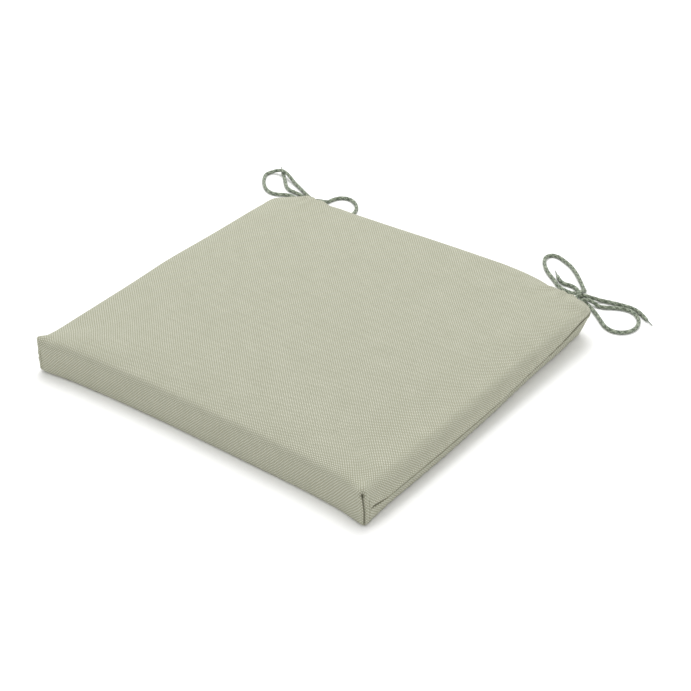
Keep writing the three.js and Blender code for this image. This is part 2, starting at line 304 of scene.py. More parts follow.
def cover_material():
    """Basket-weave upholstery cloth in a grey green, with slubs and slightly mixed yarns; painted shade
    darkens the hollows between the yarns, the seam grooves and the dart folds.
    """
    n = Nodes("woven_cloth")
    cloth = n.attribute("cloth").outputs["Vector"]
    parts = n.add("ShaderNodeSeparateXYZ")
    n.link(cloth, parts.inputs[0])
    wander = n.noise(cloth, 0.06, 2)
    u = n.math("ADD", n.math("DIVIDE", parts.outputs[0], YARN), n.math("MULTIPLY", wander, 0.9))
    v = n.math("ADD", n.math("DIVIDE", parts.outputs[1], YARN), n.math("MULTIPLY", wander, -0.9))
    bump, over = weave_height(n, u, v)
    warp_slub = n.noise(stretched(n, cloth, 0.9, 0.05, 1), 1.0, 3, 0.6)
    weft_slub = n.noise(stretched(n, cloth, 0.05, 0.9, 1), 1.0, 3, 0.6)
    blotch = n.noise(cloth, 0.035, 3, 0.6)
    fibre = n.noise(cloth, 5.0, 3, 0.7)
    warp = n.mix(n.spread(warp_slub, 0.3, 0.7), (0.55, 0.55, 0.455, 1), (0.65, 0.65, 0.55, 1))
    weft = n.mix(n.spread(weft_slub, 0.3, 0.7), (0.265, 0.265, 0.19, 1), (0.37, 0.37, 0.28, 1))
    warp = n.mix(n.math("MULTIPLY", yarn_tone(n, u), 0.08), warp, (0.40, 0.40, 0.31, 1))
    weft = n.mix(n.math("MULTIPLY", yarn_tone(n, v), 0.15), weft, (0.17, 0.17, 0.115, 1))
    colour = n.mix(over, weft, warp)
    colour = n.mix(n.spread(blotch, 0.35, 0.65, 0.0, 0.14), colour, (0.30, 0.31, 0.22, 1))
    colour = n.mix(n.spread(fibre, 0.3, 0.7, 0.0, 0.12), colour, (0.62, 0.62, 0.50, 1))
    # painted shade: the weave's low places between the yarn crossings are darkened
    colour = n.mix(n.spread(bump, 0.05, 0.75, 0.8, 0.0), colour, (0.20, 0.20, 0.13, 1))
    # painted shade, near black, along the seam grooves, the dart folds and the notches at their ends
    seam_shade = n.attribute("seam_shade").outputs["Fac"]
    colour = n.mix(n.math("MULTIPLY", seam_shade, 0.8, clamp=True), colour, (0.075, 0.07, 0.035, 1))
    height = n.math("ADD", bump, n.math("MULTIPLY", fibre, 0.25))
    height = n.math("ADD", height, n.math("MULTIPLY", n.math("ADD", warp_slub, weft_slub), 0.45))
    n.set(
        Base_Color=colour,
        Roughness=n.spread(fibre, 0.3, 0.7, 0.82, 0.95),
        Normal=n.bump(height, 0.75, 0.0005),
    )
    n.shader.inputs["Specular IOR Level"].default_value = 0.2
    n.shader.inputs["Sheen Weight"].default_value = 0.18
    n.shader.inputs["Sheen Roughness"].default_value = 0.5
    n.shader.inputs["Sheen Tint"].default_value = (0.9, 0.92, 0.8, 1)
    return n.material


def cord_material():
    """Round braid in sage green with darker and paler carriers and painted shade between its crossings; its
    tip is sealed and darker.
    """
    n = Nodes("braided_cord")
    shade = n.attribute("carrier").outputs["Fac"]
    relief = n.attribute("relief").outputs["Fac"]
    sealed = n.attribute("sealed").outputs["Fac"]
    fibre = n.noise(n.place(), 2600, 3, 0.7)
    patch = n.noise(n.place(), 90, 2)
    colour = n.mix(n.spread(shade, 0.0, 0.5), (0.028, 0.036, 0.024, 1), (0.17, 0.215, 0.155, 1))
    colour = n.mix(n.spread(shade, 0.5, 1.0), colour, (0.46, 0.50, 0.40, 1))
    colour = n.mix(n.spread(patch, 0.3, 0.7, 0.0, 0.25), colour, (0.15, 0.155, 0.09, 1))
    colour = n.mix(n.spread(fibre, 0.3, 0.7, 0.0, 0.15), colour, (0.32, 0.36, 0.28, 1))
    # painted shade: the braid's low places between the crossings are darkened
    colour = n.mix(n.spread(relief, 0.0, 0.6, 0.6, 0.0), colour, (0.04, 0.05, 0.03, 1))
    colour = n.mix(sealed, colour, (0.13, 0.16, 0.12, 1))
    n.set(
        Base_Color=colour,
        Roughness=n.mix(sealed, (0.85, 0.85, 0.85, 1), (0.4, 0.4, 0.4, 1)),
        Normal=n.bump(n.math("ADD", relief, n.math("MULTIPLY", fibre, 0.4)), 0.5, 0.00025),
    )
    n.shader.inputs["Sheen Weight"].default_value = 0.15
    return n.material


def foam_material():
    """Open-cell foam: pale yellow, darkened as painted shade in its small pores."""
    n = Nodes("open_cell_foam")
    place = n.place()
    cells = n.add("ShaderNodeTexVoronoi")
    n.link(place, cells.inputs["Vector"])
    cells.inputs["Scale"].default_value = 900
    pores = n.spread(cells.outputs["Distance"], 0.1, 0.6)
    aged = n.noise(place, 12, 3)
    # painted shade: darker in the pores, where the cell distance is small and the bump is low
    colour = n.mix(pores, (0.55, 0.48, 0.30, 1), (0.86, 0.80, 0.60, 1))
    colour = n.mix(n.spread(aged, 0.35, 0.65, 0, 0.3), colour, (0.80, 0.68, 0.40, 1))
    n.set(Base_Color=colour, Roughness=0.95, Normal=n.bump(pores, 0.6, 0.0006))
    return n.material


def thread_material():
    """Twisted sewing thread in dark olive, with painted shade between its plies."""
    n = Nodes("sewing_thread")
    place = n.place()
    twist = n.add("ShaderNodeTexWave", wave_type="BANDS", bands_direction="DIAGONAL")
    n.link(place, twist.inputs["Vector"])
    twist.inputs["Scale"].default_value = 900
    twist.inputs["Distortion"].default_value = 1.5
    ply = twist.outputs["Fac"]
    dye = n.noise(place, 120, 2)
    # painted shade: the ply bands that lie low in the bump are darkened
    colour = n.mix(ply, (0.10, 0.10, 0.055, 1), (0.22, 0.22, 0.125, 1))
    colour = n.mix(n.spread(dye, 0.3, 0.7, 0, 0.3), colour, (0.30, 0.30, 0.18, 1))
    n.set(Base_Color=colour, Roughness=0.7, Normal=n.bump(ply, 0.4, 0.0001))
    return n.material


def tape_material():
    """Zip tape: a fine herringbone rib, with painted shade in the troughs between the ribs."""
    n = Nodes("herringbone_tape")
    place = n.place()
    parts = n.add("ShaderNodeSeparateXYZ")
    n.link(place, parts.inputs[0])
    zigzag = n.math("PINGPONG", parts.outputs[2], 0.0012)
    slope = n.math("ADD", parts.outputs[0], zigzag)
    rib = n.math("ABSOLUTE", n.math("SINE", n.math("MULTIPLY", slope, 5200)))
    fibre = n.noise(place, 2500, 2)
    # painted shade: darker in the rib troughs
    colour = n.mix(rib, (0.28, 0.29, 0.20, 1), (0.50, 0.52, 0.38, 1))
    colour = n.mix(n.spread(fibre, 0.3, 0.7, 0, 0.3), colour, (0.38, 0.40, 0.28, 1))
    n.set(Base_Color=colour, Roughness=0.85, Normal=n.bump(rib, 0.5, 0.0002))
    return n.material


def coil_material():
    """Nylon filament of the zip's coils."""
    n = Nodes("nylon_coil")
    place = n.place()
    wear = n.noise(place, 300, 3)
    colour = n.mix(n.spread(wear, 0.35, 0.65), (0.33, 0.35, 0.24, 1), (0.45, 0.47, 0.34, 1))
    n.set(
        Base_Color=colour,
        Roughness=n.spread(wear, 0.3, 0.7, 0.28, 0.45),
        Normal=n.bump(wear, 0.15, 0.0001),
    )
    n.shader.inputs["Coat Weight"].default_value = 0.15
    return n.material


def metal_material():
    """Painted zinc: paint a little worn to bright metal along the edges."""
    n = Nodes("painted_zinc")
    place = n.place()
    speckle = n.noise(place, 1800, 3, 0.6)
    smear = n.noise(place, 220, 3)
    edge = n.add("ShaderNodeNewGeometry").outputs["Pointiness"]
    worn = n.math("MULTIPLY", n.spread(edge, 0.52, 0.6), n.spread(speckle, 0.4, 0.6))
    colour = n.mix(n.spread(smear, 0.35, 0.65), (0.27, 0.28, 0.19, 1), (0.34, 0.355, 0.25, 1))
    colour = n.mix(worn, colour, (0.62, 0.61, 0.57, 1))
    n.set(
        Base_Color=colour,
        Metallic=n.spread(worn, 0, 1, 0.35, 1),
        Roughness=n.spread(smear, 0.3, 0.7, 0.32, 0.5),
        Normal=n.bump(speckle, 0.12, 0.0001),
    )
    return n.material


# ---- tie cords ----
# The routes repeat the CAD's. "over" and "back" are the two times a tail passes the knot, where
# the strands pass over each other.
RIGHT_A = {
    "root": [(TIE_INNER, 192.6, 25), (TIE_INNER, 203, 24.3), (159.5, 212, 19.5), (156, 222, 11),
             (153.8, 231, 8), (153.2, 238.5, 10)],
    "over": [(153, 244, 10.6), (152, 250.5, 8.2)],
    "loop": [(150, 257, 4), (146, 262, FLOOR), (135, 273.5, FLOOR), (123, 285, FLOOR), (110, 295, FLOOR),
             (98, 301, FLOOR), (88, 304.5, FLOOR), (80.5, 303, FLOOR), (78, 296, FLOOR), (81, 287.5, FLOOR),
             (87, 279, FLOOR), (95, 271, FLOOR), (104, 264, FLOOR), (113, 257.5, FLOOR), (121, 251.5, FLOOR),
             (131, 248, FLOOR), (140, 246, 3.4)],
    "back": [(148, 245, 5.9), (156, 245, 6.4)],
    "end": [(164.5, 249, 4.5), (172, 252.8, 2.6), (182, 256, FLOOR), (194, 258.3, FLOOR),
            (205, 259.3, FLOOR), (214, 257.5, FLOOR), (222, 253, FLOOR), (229, 248.5, FLOOR)],
}
RIGHT_B = {
    "root": [(TIE_OUTER, 192.6, 25), (TIE_OUTER, 203, 24.1), (165, 212, 19), (161.5, 222, 11.5),
             (160, 229.5, 7.6)],
    "over": [(160.8, 235.5, 7), (164.5, 240, 6.4)],
    "loop": [(170, 242, 4), (176, 241.8, FLOOR), (182, 243.5, FLOOR), (190, 248.5, FLOOR),
             (198, 252.3, FLOOR), (206, 253.5, FLOOR), (214, 251, FLOOR), (221, 245, FLOOR),
             (226, 236.5, FLOOR), (228, 227, FLOOR), (226, 218, FLOOR), (220, 211, FLOOR),
             (212, 208.5, FLOOR), (203, 210.5, FLOOR), (195, 216, FLOOR), (186, 223.5, FLOOR),
             (176, 231, FLOOR), (168, 236, FLOOR)],
    "back": [(160, 240, FLOOR), (153, 245.5, FLOOR)],
    "end": [(147, 251, FLOOR), (142, 256, FLOOR), (136, 259.5, FLOOR), (130, 260.3, FLOOR),
            (124, 259.5, FLOOR), (118.5, 261, FLOOR), (113, 265, FLOOR), (109.5, 268.5, FLOOR)],
}
LEFT_A = {
    "root": [(-TIE_OUTER, 192.6, 25), (-TIE_OUTER, 201, 24.3), (-170.5, 208.5, 19.5),
             (-179.5, 213.5, 11.5), (-190, 217.5, 8), (-197.3, 223.5, 9.8)],
    "over": [(-200, 230.5, 10.7), (-202, 237, 8.4)],
    "loop": [(-205, 242.8, 4.4), (-210.5, 247, FLOOR), (-221, 251.5, FLOOR), (-230, 256, FLOOR),
             (-240, 261, FLOOR), (-249, 265, 2.8), (-258, 269, 4.8), (-267, 272.5, 6.5),
             (-276, 274.5, 6.5), (-283, 274.5, 4.4), (-288.5, 270.5, 2.4), (-290, 263, FLOOR),
             (-285, 252.5, FLOOR), (-276, 241.5, FLOOR), (-266, 233.5, FLOOR), (-256, 230, FLOOR),
             (-248, 231.5, FLOOR), (-241, 235.5, FLOOR), (-233, 238, FLOOR), (-223, 236.5, FLOOR),
             (-214, 232.6, 3)],
    "back": [(-206, 230.3, 6), (-198, 231, 6.4)],
    "end": [(-190, 234.5, 6.2), (-182.5, 238, 4.2), (-177, 239.3, FLOOR), (-172, 240, FLOOR),
            (-167, 241, FLOOR)],
}
LEFT_B = {
    "root": [(-TIE_INNER, 192.6, 25), (-TIE_INNER, 202, 24.4), (-165, 210.5, 20), (-175, 217, 12.5),
             (-184.5, 221.5, 9.5), (-190.5, 226.5, 10)],
    "over": [(-192.6, 233, 10.6), (-191.6, 240, 8)],
    "loop": [(-190.3, 247, 4.4), (-189.4, 253, FLOOR), (-188.5, 259, FLOOR), (-185, 267, FLOOR),
             (-179, 271.5, FLOOR), (-171, 272, FLOOR), (-161, 267, FLOOR), (-153.5, 259, FLOOR),
             (-149.5, 249, FLOOR), (-149.5, 240, FLOOR), (-154, 233, FLOOR), (-163, 229.5, FLOOR),
             (-174, 229.3, FLOOR), (-185, 230.3, FLOOR)],
    "back": [(-194, 231.3, FLOOR), (-202, 234.5, FLOOR)],
    "end": [(-209, 239.3, FLOOR), (-216, 243, FLOOR), (-225, 246, FLOOR), (-234, 247.3, FLOOR),
            (-243, 248.3, FLOOR), (-251, 252.5, FLOOR), (-259, 260, FLOOR), (-266, 267.2, FLOOR),
            (-273, 274, FLOOR), (-279, 279.7, FLOOR)],
}


def smooth_line(points, step):
    """A centripetal Catmull-Rom line through the points, as points `step` apart."""
    points = np.array(points, float)
    padded = np.vstack([2 * points[0] - points[1], points, 2 * points[-1] - points[-2]])
    line = []
    for p0, p1, p2, p3 in zip(padded, padded[1:], padded[2:], padded[3:]):
        t1 = math.sqrt(np.linalg.norm(p1 - p0))
        t2 = t1 + math.sqrt(np.linalg.norm(p2 - p1))
        t3 = t2 + math.sqrt(np.linalg.norm(p3 - p2))
        for t in np.linspace(t1, t2, 24, endpoint=False):
            a1 = ((t1 - t) * p0 + t * p1) / t1
            a2 = ((t2 - t) * p1 + (t - t1) * p2) / (t2 - t1)
            a3 = ((t3 - t) * p2 + (t - t2) * p3) / (t3 - t2)
            b1 = ((t2 - t) * a1 + t * a2) / t2
            b2 = ((t3 - t) * a2 + (t - t1) * a3) / (t3 - t1)
            line.append(((t2 - t) * b1 + (t - t1) * b2) / (t2 - t1))
    line.append(points[-1])
    line = np.array(line)
    along = np.concatenate([[0], np.cumsum(np.linalg.norm(np.diff(line, axis=0), axis=1))])
    marks = np.linspace(0, along[-1], max(2, round(along[-1] / step)))
    return np.column_stack([np.interp(marks, along, line[:, k]) for k in range(3)])


def line_frames(line):
    """Two directions square to the line at every point, turning as little as they can."""
    ahead = np.gradient(line, axis=0)
    ahead /= np.linalg.norm(ahead, axis=1)[:, None]
    side = np.cross(ahead[0], (0, 0, 1))
    side /= np.linalg.norm(side)
    sides = []
    for direction in ahead:
        side = side - direction * side.dot(direction)
        side /= np.linalg.norm(side)
        sides.append(side)
    sides = np.array(sides)
    return sides, np.cross(ahead, sides)


def tube(line, radii, sides):
    """Points and faces of a closed tube; radii is one row for each point of the line."""
    across, up = line_frames(line)
    angle = np.arange(sides) * 2 * math.pi / sides
    ring = (
        across[:, None, :] * np.cos(angle)[None, :, None]
        + up[:, None, :] * np.sin(angle)[None, :, None]
    )
    points = (line[:, None, :] + ring * radii[:, :, None]).reshape(-1, 3)
    faces = []
    for i in range(len(line) - 1):
        for k in range(sides):
            a = i * sides + k
            b = i * sides + (k + 1) % sides
            faces.append((a, b, b + sides, a + sides))
    faces.append(tuple(reversed(range(sides))))
    faces.append(tuple(range(len(points) - sides, len(points))))
    return points, faces


def braid(line, sides=24, carriers=8, pitch=1.9):
    """Radius, relief and yarn shade of a round braid, for every vertex of its tube."""
    step = np.linalg.norm(line[1] - line[0])
    along = np.arange(len(line))[:, None] * step
    turn = np.arange(sides)[None, :] * carriers / sides
    right = turn + along / pitch
    left = turn - along / pitch
    crossing = np.sin(math.pi * right) * np.sin(math.pi * left)
    relief = np.abs(crossing) ** 0.7
    over = crossing > 0
    yarn = np.where(over, np.floor(right), np.floor(left) + 3).astype(int) % carriers
    shade = np.choose(yarn, [0.0, 0.5, 0.62, 1.0, 0.45, 0.1, 0.9, 0.5])
    length = along[-1, 0]
    to_tip = length - along
    taper = np.interp(
        to_tip, [0, 1, 9.5, 11.2, 13, 17], [0.45, 0.55, 0.65, 1.45, CORD / 2 - 0.15, CORD / 2]
    )
    sealed = np.interp(to_tip, [9, 12], [1, 0]) + 0 * turn
    radii = taper + (1 - sealed) * 0.18 * (relief - 0.6)
    return radii, relief, shade, sealed


def add_tail(name, tail, replaced):
    """One tail of a tie: a braided cord from the seam, through its bow to its sealed tip."""
    route = [point for part in ("root", "over", "loop", "back", "end") for point in tail[part]]
    last, before = np.array(route[-1]), np.array(route[-2])
    tip = last + (last - before) / np.linalg.norm(last - before) * TIP_LENGTH
    line = smooth_line(route + [tuple(tip)], 0.5)
    radii, relief, shade, sealed = braid(line)
    points, faces = tube(line, radii, radii.shape[1])
    cord = make_mesh(name, points, faces)
    add_values(cord.data, "relief", relief.ravel())
    add_values(cord.data, "carrier", shade.ravel())
    add_values(cord.data, "sealed", sealed.ravel())
    cord.data.materials.append(cord_look)
    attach(cord, "pad")
    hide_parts(*replaced)


def add_ties():
    for side, tails in (("left", (LEFT_A, LEFT_B)), ("right", (RIGHT_A, RIGHT_B))):
        for letter, tail in zip("ab", tails):
            replaced = [f"tie_{side}_{part}_{letter}" for part in ("root", "loop", "end", "tip")]
            if letter == "a":
                replaced.append(f"tie_{side}_knot")
            add_tail(f"tie_{side}_cord_{letter}", tail, replaced)


# ---- shape of the pad ----
def graded(half, edge_steps, step, marks):
    """Grid lines from -half to half, close together by the ends, with a line at every mark."""
    inner = half - edge_steps[-1]
    lines = {round(sign * (half - s), 3) for s in edge_steps for sign in (-1, 1)}
    lines |= {sign * m for m in marks for sign in (-1, 1)}
    count = round(2 * inner / step)
    for value in np.linspace(-inner, inner, count + 1)[1:-1]:
        if min(abs(value - line) for line in lines) > 0.45 * step:
            lines.add(round(float(value), 3))
    return np.array(sorted(lines))


def seam_height(x, y):
    """The side seam starts low at the front and climbs to the zip at the back."""
    climb = np.clip((y + 20) / 200, 0, 1)
    hump = 7 * gauss(y - 176, 36) * np.clip((np.abs(x) - TIE_X - 8) / 20, 0, 1)
    return SEAM_LOW + (ZIP_HEIGHT - SEAM_LOW) * climb * climb * (3 - 2 * climb) + hump


def gauss(distance, width):
    return np.exp(-((distance / width) ** 2))


ROWS_BELOW = (0, 0.22, 0.5, 0.78)
SEAM_OFFSETS = (-4.5, -2.2, 0, 2.2, 4.5)
ROWS_ABOVE = (0.35, 0.6, 0.82, 1)
SEAM_BAND = SEAM_OFFSETS[-1]
SEAM_ROW = len(ROWS_BELOW) + 2
TOP_ROW = len(ROWS_BELOW) + len(SEAM_OFFSETS) + len(ROWS_ABOVE) - 1
GRID_STEP = 8
EDGE_STEPS = (0, 2.5, 5.5, 9, 13, 19)


def row_heights(seam):
    """Heights of the rows of vertices round the sides, for a seam at that height."""
    below = [t * (seam - SEAM_BAND) for t in ROWS_BELOW]
    beside = [seam + offset for offset in SEAM_OFFSETS]
    above = [seam + SEAM_BAND + t * (HEIGHT - seam - SEAM_BAND) for t in ROWS_ABOVE]
    return below + beside + above


def corner_radius(x, y):
    return np.where(y < 0, FRONT_CORNER, np.where(x > 0, BACK_RIGHT_CORNER, BACK_LEFT_CORNER))


def round_plan(x, y):
    """Moves points of the square plan so that its corners are round."""
    r = corner_radius(x, y)
    cx, cy = WIDTH / 2 - r, DEPTH / 2 - r
    a = np.clip((np.abs(x) - cx) / r, 0, 1)
    b = np.clip((np.abs(y) - cy) / r, 0, 1)
    new_x = np.minimum(np.abs(x), cx) + r * a * np.sqrt(1 - b * b / 2)
    new_y = np.minimum(np.abs(y), cy) + r * b * np.sqrt(1 - a * a / 2)
    return np.sign(x) * new_x, np.sign(y) * new_y


def from_outline(x, y):
    """How far inside the plan's outline a point is, and the outward direction there."""
    r = corner_radius(x, y)
    qx = np.abs(x) - (WIDTH / 2 - r)
    qy = np.abs(y) - (DEPTH / 2 - r)
    corner = (qx > 0) & (qy > 0)
    reach = np.maximum(np.hypot(qx, qy), 1e-6)
    inside = np.where(corner, r - reach, r - np.maximum(qx, qy))
    out_x = np.where(corner, qx / reach, qx > qy)
    out_y = np.where(corner, qy / reach, qx <= qy)
    return inside, np.sign(x) * out_x, np.sign(y) * out_y


SMOOTHING = (-16, -8, 0, 8, 16)


def along_side(*stations):
    """A smooth function through (place along the side, distance) stations."""
    places, distances = np.array(stations, float).T

    def smoothed(place):
        near = (np.interp(place + shift, places, distances) for shift in SMOOTHING)
        return sum(near) / len(SMOOTHING)

    return smoothed


# How far the filled cover stands out of the straight sides, and how far its back edge rises.
RIGHT_OUT = along_side(
    (-196, 6), (-120, 6), (-77, 5.5), (-34, 4.5), (12, 3.6), (56, 1.8), (110, 1), (196, 1)
)
LEFT_OUT = along_side(
    (-196, 4), (-150, 6), (-60, 8.7), (0, 12), (60, 11), (110, 11), (160, 11), (196, 8)
)
FRONT_OUT = along_side(
    (-200, 3), (-165, 0), (-99, -3), (-35, -3.5), (35, -2.5), (126, -1), (170, 2), (200, 6.5)
)
BACK_OUT = along_side(
    (-180, 3), (-100, 5), (0, 6), (100, 7), (130, 6), (150, 3.5), (165, 4.5), (180, 2.5), (196, -2)
)
BACK_RISE = along_side(
    (-185, 1.5), (-165, 3.3), (-140, 3.5), (-115, 1.5), (0, 3), (100, 3.5), (150, 0.5), (196, 0)
)


def shaped(x, y, z):
    """The sewn shape: round edges, sides that draw in below the seam and a filled cover's bulge."""
    x, y = round_plan(x, y)
    inside, out_x, out_y = from_outline(x, y)
    edge = np.where(z > HEIGHT / 2, EDGE, LOWER_EDGE)
    q1 = edge - inside
    q2 = np.abs(z - HEIGHT / 2) - (HEIGHT / 2 - edge)
    rounding = (q1 > 0) & (q2 > 0)
    reach = np.maximum(np.hypot(q1, q2), 1e-6)
    shift = np.where(rounding, q1 / reach * edge - q1, 0)
    lift = np.where(rounding, q2 / reach * edge - q2, 0) * np.sign(z - HEIGHT / 2)
    seam = seam_height(x, y)
    low = np.clip((seam - z) / seam, 0, 1) ** 1.2
    rear = np.clip((y + 60) / 170, 0, 1)
    at_corner = np.clip((y - 130) / 50, 0, 1)
    from_front = np.clip((y + DEPTH / 2) / 40, 0, 1)
    on_side = np.abs(out_x)
    draw = 0.4 + on_side * (2.6 * from_front + 3.5 * rear + 3 * at_corner)
    draw = draw + 3 * at_corner * (1 - on_side)
    draw = draw * low * np.clip(1 - inside / 70, 0, 1)
    to_side = np.clip(np.abs(x) / (WIDTH / 2), 0, 1) ** 2
    to_end = np.clip(np.abs(y) / (DEPTH / 2), 0, 1) ** 4
    above = np.clip((z - seam) / (HEIGHT - seam), 0, 1)
    side_out = np.where(x > 0, RIGHT_OUT(y) * (1 - 0.6 * above), -LEFT_OUT(y))
    end_out = np.where(y > 0, BACK_OUT(x) * above, -FRONT_OUT(x))
    rise = np.where(y > 0, BACK_RISE(x) * above, 0)
    return np.column_stack([
        x + out_x * (shift - draw) + side_out * to_side,
        y + out_y * (shift - draw) + end_out * to_end,
        z + lift + rise * to_end,
    ])


def pad_grid(openings):
    """The pad as a grid of quads: places on the plain box, faces with the side each is on, and rows.
    Without openings it is closed all round."""
    marks = (-ZIP_SLOT[0], ZIP_SLOT[1], TIE_X - TIE_HOLE, TIE_X + TIE_HOLE)
    xs = graded(WIDTH / 2, EDGE_STEPS, GRID_STEP, marks)
    ys = graded(DEPTH / 2, EDGE_STEPS, GRID_STEP, ())
    top = TOP_ROW
    right, back = len(xs) - 1, len(ys) - 1
    number = {}
    places = []

    def corner(i, j, k):
        key = (i, j, k)
        if key not in number:
            number[key] = len(places)
            x, y = xs[i], ys[j]
            px, py = round_plan(np.array([x]), np.array([y]))
            places.append((x, y, row_heights(float(seam_height(px, py)[0]))[k]))
        return number[key]

    faces = []
    for i in range(right):
        for j in range(back):
            faces.append(("top", [corner(i, j, top), corner(i + 1, j, top),
                                  corner(i + 1, j + 1, top), corner(i, j + 1, top)]))
            faces.append(("bottom", [corner(i, j, 0), corner(i, j + 1, 0),
                                     corner(i + 1, j + 1, 0), corner(i + 1, j, 0)]))
    for k in range(top):
        for i in range(right):
            faces.append(("front", [corner(i, 0, k), corner(i + 1, 0, k),
                                    corner(i + 1, 0, k + 1), corner(i, 0, k + 1)]))
            if not (openings and in_opening(xs[i], xs[i + 1], k)):
                faces.append(("back", [corner(i + 1, back, k), corner(i, back, k),
                                       corner(i, back, k + 1), corner(i + 1, back, k + 1)]))
        for j in range(back):
            faces.append(("right", [corner(right, j, k), corner(right, j + 1, k),
                                    corner(right, j + 1, k + 1), corner(right, j, k + 1)]))
            faces.append(("left", [corner(0, j + 1, k), corner(0, j, k),
                                   corner(0, j, k + 1), corner(0, j + 1, k + 1)]))
    rows = {index: key[2] for key, index in number.items()}
    return np.array(places), faces, rows


def in_opening(x0, x1, k):
    """Whether a face of the back belongs to the zip's slot or to a cord's opening."""
    middle = (x0 + x1) / 2
    slot = ZIP_SLOT[0] < middle < ZIP_SLOT[1] and SEAM_ROW - 2 <= k < SEAM_ROW + 2
    tie = abs(abs(middle) - TIE_X) < TIE_HOLE and SEAM_ROW - 1 <= k < SEAM_ROW + 1
    return slot or tie


def cloth_coordinates(side, place):
    """Where a point of the box lies on the flat cloth, in millimetres."""
    x, y, z = place
    drop = HEIGHT - z
    return {
        "top": (x, y),
        "bottom": (x, -y + 3),
        "front": (x, -DEPTH / 2 - drop),
        "back": (x, DEPTH / 2 + drop),
        "right": (WIDTH / 2 + drop, y),
        "left": (-WIDTH / 2 - drop, y),
    }[side]


def opening_rim(faces):
    """The edges that only one face uses, each in that face's direction."""
    seen = {}
    for _, face in faces:
        for a, b in zip(face, face[1:] + face[:1]):
            seen[(a, b)] = True
    return [edge for edge in seen if (edge[1], edge[0]) not in seen]


def swell(piece, held, most):
    """Blows the shape up like a filled cover, with no point moved further than `most`."""
    start = vertex_places(piece.data)
    group = piece.vertex_groups.new(name="held")
    group.add(held, 1.0, "REPLACE")
    cloth = piece.modifiers.new("cloth", "CLOTH")
    settings = cloth.settings
    settings.quality = 6
    settings.mass = 0.3
    settings.tension_stiffness = 20
    settings.compression_stiffness = 20
    settings.shear_stiffness = 8
    settings.bending_stiffness = 0.4
    settings.use_pressure = True
    settings.uniform_pressure_force = 4
    settings.vertex_group_mass = "held"
    settings.effector_weights.gravity = 0
    cloth.collision_settings.use_collision = False
    scene = bpy.context.scene
    for step in range(1, 21):
        scene.frame_set(step)
    apply_modifiers(piece)
    scene.frame_set(1)
    moved = vertex_places(piece.data) - start
    far = np.maximum(np.linalg.norm(moved, axis=1), 1e-6)
    moved *= (most * np.tanh(far / most) / far)[:, None]
    set_places(piece.data, start + moved)


def sew(mesh):
    """Draws the seams, the corner darts and the puckers by the ties into the finished surface, and stores
    painted shade for the seam grooves, dart folds and notches.
    """
    places = vertex_places(mesh)
    normals = vertex_normals(mesh)
    off = get_values(mesh, "off_seam")
    dart = get_values(mesh, "off_dart")
    up = get_values(mesh, "up")
    back = get_values(mesh, "on_back")
    side = np.clip(1 - back, 0, 1)
    x, y, z = places.T
    seam = gauss(off, 1.0) * np.clip((y + 193) / 6, 0, 1)
    push = -1.5 * seam + 0.5 * gauss(np.abs(off) - 3.2, 1.9) * side
    push += 0.25 * np.sin(y / 1.9 + 3 * np.sin(y / 37)) * gauss(np.abs(off) - 3.5, 2.5) * side
    reach = np.clip(np.minimum(up - 1.0, HEIGHT - 1.5 - up) / 3, 0, 1)
    fold = gauss(dart, 0.8) * reach
    notch = gauss(dart, 1.6) * (gauss(up - (HEIGHT - 5), 2.2) + 0.3 * gauss(up - 3.5, 1.8))
    push -= 1.6 * fold + 2.0 * notch
    push += 0.8 * gauss(dart - 3.0, 1.8) * reach
    push += 3.2 * gauss(dart, 9) * gauss(up - HEIGHT, 6)
    for sign in (-1, 1):
        from_tie_x = x - sign * TIE_X
        reach_in = np.maximum(DEPTH / 2 - y, 0)
        near = np.hypot(from_tie_x, reach_in)
        angle = np.arctan2(from_tie_x, reach_in + 8)
        rays = np.cos(angle * 9 + sign) * gauss(near - 16, 22) * np.clip((z - 20) / 15, 0, 1)
        push += 0.9 * rays - 2.2 * gauss(np.hypot(from_tie_x, 1.2 * (z - ZIP_HEIGHT - 4)), 12) * back
    places += normals * push[:, None]
    places[:, 2] = np.maximum(places[:, 2], 0)
    set_places(mesh, places)
    # painted shade: how dark the seam grooves, dart folds and notches are drawn in the cloth's colour
    add_values(mesh, "seam_shade", np.clip(1.1 * seam + fold + 0.9 * notch, 0, 1))


def build_cover():
    places, faces, rows = pad_grid(openings=True)
    rim = opening_rim(faces)
    sewn = shaped(*places.T)
    points = list(sewn)
    lists = [face for _, face in faces]
    sides = [side for side, _ in faces]
    tucked = {}
    for index in sorted({i for edge in rim for i in edge}):
        lip = sewn[index].copy()
        at_tie = abs(lip[0]) > ZIP_SLOT[1] + 1
        lip[1] = LIP_Y
        lip[2] = ZIP_HEIGHT + (lip[2] - ZIP_HEIGHT) * (TIE_LIP_CLOSE if at_tie else LIP_CLOSE)
        tucked[index] = len(points)
        points.append(lip)
    for a, b in rim:
        lists.append([b, a, tucked[a], tucked[b]])
        sides.append("back")
    cover = make_mesh("cover_cloth", points, lists)
    source = list(range(len(places))) + sorted(tucked)
    box_places = places[source]
    row_of = np.array([rows[i] for i in source])
    write_cloth_map(cover.data, sides, lists, box_places)
    write_seam_values(cover.data, box_places, row_of)
    seam_held = (row_of == SEAM_ROW) & (box_places[:, 1] > 25 - DEPTH / 2)
    held = np.flatnonzero(seam_held).tolist()
    held += sorted(tucked) + sorted(tucked.values())
    swell(cover, sorted(set(held)), SWELL)
    subdivide(cover, 2)
    sew(cover.data)
    shell = cover.modifiers.new("thickness", "SOLIDIFY")
    shell.thickness = FABRIC * MM
    shell.offset = -1
    apply_modifiers(cover)
    cover.data.materials.clear()
    cover.data.materials.append(cover_material())
    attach(cover, "pad")
    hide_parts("cover")
    return cover


def write_cloth_map(mesh, sides, lists, box_places):
    """The flat cloth's coordinates, for the weave."""
    layer = mesh.uv_layers.new(name="cloth")
    flat = []
    for side, face in zip(sides, lists):
        for index in face:
            flat.extend(cloth_coordinates(side, box_places[index]))
    layer.data.foreach_set("uv", flat)


